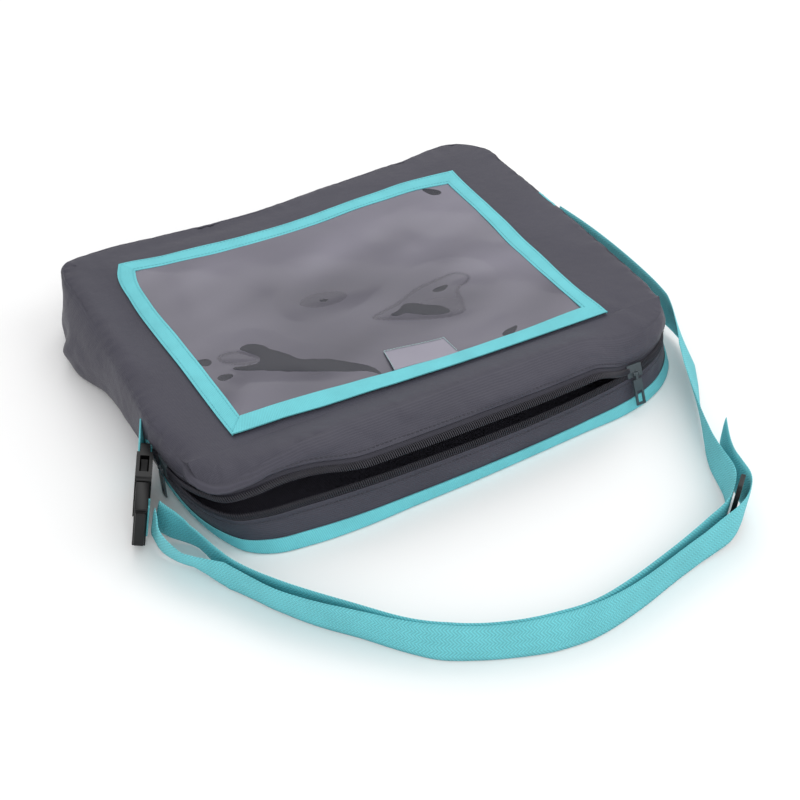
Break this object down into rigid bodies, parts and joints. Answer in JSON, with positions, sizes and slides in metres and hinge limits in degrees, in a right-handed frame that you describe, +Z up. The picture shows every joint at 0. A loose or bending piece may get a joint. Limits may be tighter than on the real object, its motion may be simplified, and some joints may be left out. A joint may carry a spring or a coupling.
{
  "type": "travel activity bag",
  "caption": "Flat soft zip case with a padded lid, a clear window pocket on top, a gaping front zip mouth and an adjustable shoulder strap with a side-release buckle.",
  "frame": {"origin": "under the middle of the case, on the surface that it stands on", "axes": "+Z up, the zip mouth faces -Y, the buckle hangs on the -X side"},
  "size_m": [0.4218, 0.429, 0.0598],
  "materials": {
    "grey_fabric": "matt ribbed polyester",
    "teal_binding": "ribbed binding tape",
    "teal_webbing": "woven webbing",
    "foam": "soft foam sheet",
    "lining": "matt",
    "zip_tape": "matt woven tape",
    "zip_coil": "matt nylon coil",
    "clear_vinyl": "glossy clear film",
    "slider_metal": "satin",
    "black_plastic": "satin moulded"
  },
  "bodies": {
    "case": {"bottom_panel": "grey_fabric", "top_panel": "grey_fabric", "rear_gusset": "grey_fabric", "lower_gusset": "grey_fabric", "upper_gusset_left": "grey_fabric", "upper_gusset_right": "grey_fabric", "front_band": "teal_binding", "window_tape_front": "teal_binding", "window_tape_back": "teal_binding", "window_tape_left": "teal_binding", "window_tape_right": "teal_binding", "strap_tab_left": "teal_webbing", "strap_end_right": "teal_webbing", "strap_long_run": "teal_webbing", "strap_return_run": "teal_webbing", "bottom_padding": "foam", "top_padding": "foam", "bottom_lining": "lining", "top_lining": "lining", "lower_zip_tape": "zip_tape", "upper_zip_tape_left": "zip_tape", "upper_zip_tape_right": "zip_tape", "lower_zip_teeth": "zip_coil", "upper_zip_teeth_left": "zip_coil", "upper_zip_teeth_right": "zip_coil", "window_sheet": "clear_vinyl", "clear_patch": "clear_vinyl", "buckle_socket": "black_plastic"},
    "lip": {"lip_strip": "grey_fabric", "upper_gusset_lip": "grey_fabric", "upper_zip_tape_lip": "zip_tape", "upper_zip_teeth_lip": "zip_coil"},
    "right_slider": {"right_slider_body": "slider_metal"},
    "right_pull": {"right_slider_pull": "slider_metal"},
    "left_slider": {"left_slider_body": "slider_metal"},
    "left_pull": {"left_slider_pull": "slider_metal"},
    "plug": {"buckle_plug": "black_plastic", "strap_bar_turn": "teal_webbing"},
    "prong_left": {"buckle_prong_left": "black_plastic"},
    "prong_right": {"buckle_prong_right": "black_plastic"},
    "adjuster": {"triglide": "black_plastic"}
  },
  "joints": [
    {"name": "mouth_lip", "type": "hinge", "parent": "case", "child": "lip", "pos_m": [0, -0.095, 0.0512], "axis": [-1, 0, 0], "range_deg": [-22, 35]},
    {"name": "right_slider_run", "type": "slide", "parent": "case", "child": "right_slider", "axis": [1, 0, 0], "range_m": [-0.245, 0]},
    {"name": "right_pull_swing", "type": "hinge", "parent": "right_slider", "child": "right_pull", "pos_m": [0.13, -0.13342, 0.02718], "axis": [-1, 0, 0], "range_deg": [0, 150]},
    {"name": "left_slider_run", "type": "slide", "parent": "case", "child": "left_slider", "axis": [0, -1, 0], "range_m": [0, 0.012]},
    {"name": "left_pull_swing", "type": "hinge", "parent": "left_slider", "child": "left_pull", "pos_m": [-0.18315, -0.066, 0.0255], "axis": [0, 1, 0], "range_deg": [0, 10]},
    {"name": "plug_release", "type": "slide", "parent": "case", "child": "plug", "axis": [-0.3891, -0.9212, 0], "range_m": [0, 0.014]},
    {"name": "prong_left_squeeze", "type": "hinge", "parent": "plug", "child": "prong_left", "pos_m": [-0.20232, -0.07812, 0.01014], "axis": [0.9067, -0.3829, -0.177], "range_deg": [0, 14.1]},
    {"name": "prong_right_squeeze", "type": "hinge", "parent": "plug", "child": "prong_right", "pos_m": [-0.19938, -0.07936, 0.02786], "axis": [0.9067, -0.3829, -0.177], "range_deg": [-14.1, 0]},
    {"name": "adjuster_slide", "type": "slide", "parent": "case", "child": "adjuster", "axis": [0.78, 0.6258, 0], "range_m": [-0.003, 0.003]}
  ],
  "couplings": [
    {"joint": "prong_left_squeeze", "follows": "plug_release", "rad_per_m": 17.45},
    {"joint": "prong_right_squeeze", "follows": "plug_release", "rad_per_m": -17.45}
  ]
}
